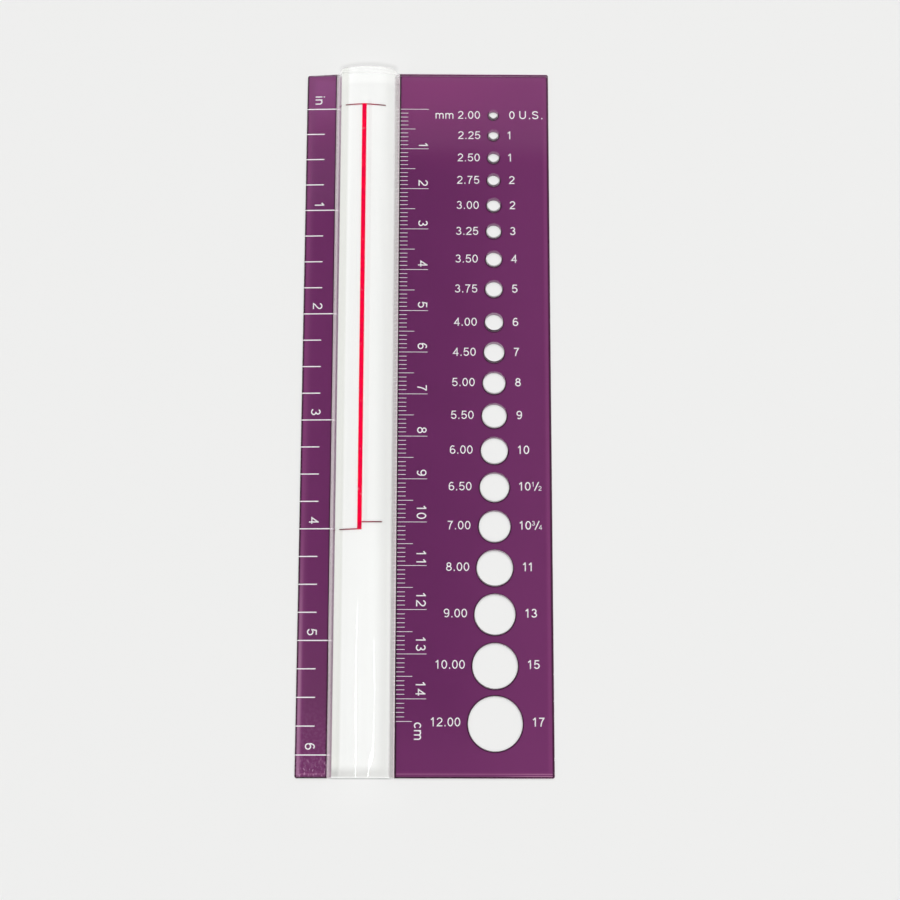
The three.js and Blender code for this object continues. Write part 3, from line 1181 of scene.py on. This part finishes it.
@made_once("pale_table")
def table_paint(n):
    """Pale matt paint, with a painted shadow past the far end of the bar and a painted dark shadow
    line along its near end.
    """
    _, x, y, _ = n.coordinates()
    pale = tuple(colours().floor)
    across = n.math("SUBTRACT", x, BAR_CENTRE)
    in_bar = n.ramp(n.math("ABSOLUTE", across), 7.5, 6)
    spot = n.add("CombineXYZ", X=across, Y=n.math("SUBTRACT", y, 63.1 * MM)).outputs["Vector"]
    from_spot = n.fill_all(n.add("VectorMath", operation="LENGTH"), spot).outputs["Value"]
    beyond = n.math("GREATER_THAN", y, BAR_HIGH.y)
    before = n.math("LESS_THAN", y, BAR_LOW.y)
    line = n.ramp(n.math("SUBTRACT", BAR_LOW.y, y), 0.24, 0.14)
    # Painted shadow of the bar past its far end, and a painted dark shadow line at its near end
    colour = n.lay(
        pale,
        (n.times(beyond, n.ramp(from_spot, 24.3, 23.1), in_bar), scaled(pale, 0.86)),
        (n.times(before, line, in_bar), scaled(pale, 0.7)))
    matt_shader(n, colour, 0.8)


def room_light(scene):
    """Room light from all round, with a darker ceiling above the table."""
    settings = stage()
    world = bpy.data.worlds.new("room")
    scene.world = world
    world.use_nodes = True
    n = Nodes(world.node_tree)
    aim = n.add("TexCoord").outputs["Generated"]
    narrow = n.fill_all(n.add("VectorMath", operation="MULTIPLY"), aim, (0.3, 1, 1))
    unit = n.fill_all(n.add("VectorMath", operation="NORMALIZE"), narrow.outputs["Vector"])
    height = n.add("SeparateXYZ", Vector=unit.outputs["Vector"]).outputs["Z"]
    true_height = n.add("SeparateXYZ", Vector=aim).outputs["Z"]

    def ring(outer, inner, low, high):
        """Goes from low to high between two angles from straight up, in degrees."""
        limits = (math.cos(math.radians(angle)) for angle in (outer, inner))
        return n.fade(height, *limits, low, high)

    # The ceiling is dark inside 23 degrees, and darker by a step inside 21
    step = 0.45
    strength = n.times(
        ring(33, 23, settings.sky, settings.shade / step), ring(21.7, 21.0, 1.0, step),
        n.fade(true_height, 0.02, 0.55, settings.horizon, 1.0))
    glow = n.add("Background", Strength=strength).outputs["Background"]
    seen = n.add("Background", Color=tuple(colours().floor)).outputs["Background"]
    path = n.add("LightPath").outputs
    n.add("OutputWorld", Surface=n.mix_shaders(path["Is Camera Ray"], glow, seen))


class GAUGE_OT_stage(GaugeOperator, bpy.types.Operator):
    """Set the table, the light and the camera"""

    bl_idname = "gauge.stage"
    bl_label = "Stage"

    def execute(self, context):
        scene = context.scene
        scene.view_settings.view_transform = "Standard"

        deselect_all()
        bpy.ops.mesh.primitive_plane_add(size=6, location=(0, 0, -0.02 * MM))
        floor = context.object
        floor.name = "table"
        bpy.ops.object.transform_apply(location=True, rotation=True, scale=True)
        floor.data.materials.append(table_paint())

        room_light(scene)
        hang_tube("left_tube", LEFT_TUBE, stage().left_tube)
        hang_tube("right_tube", RIGHT_TUBE, stage().right_tube)

        deselect_all()
        bpy.ops.object.camera_add(location=CAMERA_PLACE, rotation=CAMERA_TURN)
        camera = context.object
        camera.name = "camera"
        camera.data.sensor_width = 36
        camera.data.lens = CAMERA_LENS
        camera.data.clip_start = 0.01
        scene.camera = camera
        return {"FINISHED"}


class GAUGE_PT_panel(bpy.types.Panel):
    """Buttons for every piece of the gauge"""

    bl_label = "Needle gauge"
    bl_idname = "GAUGE_PT_panel"
    bl_space_type = "VIEW_3D"
    bl_region_type = "UI"
    bl_category = "Needle Gauge"

    def draw(self, context):
        for operator in OPERATORS:
            self.layout.operator(operator.bl_idname)
        for group in GROUPS:
            settings = getattr(context.scene, group)
            for name in settings.__annotations__:
                self.layout.prop(settings, name)


OPERATORS = (
    GAUGE_OT_stage,
    GAUGE_OT_gauge_plate,
    GAUGE_OT_plate_print,
    GAUGE_OT_inch_rule,
    GAUGE_OT_rule_print,
    GAUGE_OT_magnifier_bar,
    GAUGE_OT_stitch_line,
    GAUGE_OT_scales,
    GAUGE_OT_size_figures,
)
GROUPS = {
    "gauge_sizes": GaugeSizes,
    "gauge_colours": GaugeColours,
    "gauge_stage": StageSettings,
}
CLASSES = (*GROUPS.values(), *OPERATORS, GAUGE_PT_panel)


def register():
    for cls in CLASSES:
        bpy.utils.register_class(cls)
    for name, group in GROUPS.items():
        setattr(bpy.types.Scene, name, PointerProperty(type=group))


def unregister():
    for name in GROUPS:
        delattr(bpy.types.Scene, name)
    for cls in reversed(CLASSES):
        bpy.utils.unregister_class(cls)


def main():
    register()
    for operator in OPERATORS:
        group, name = operator.bl_idname.split(".")
        getattr(getattr(bpy.ops, group), name)()


if __name__ == "__main__":
    main()
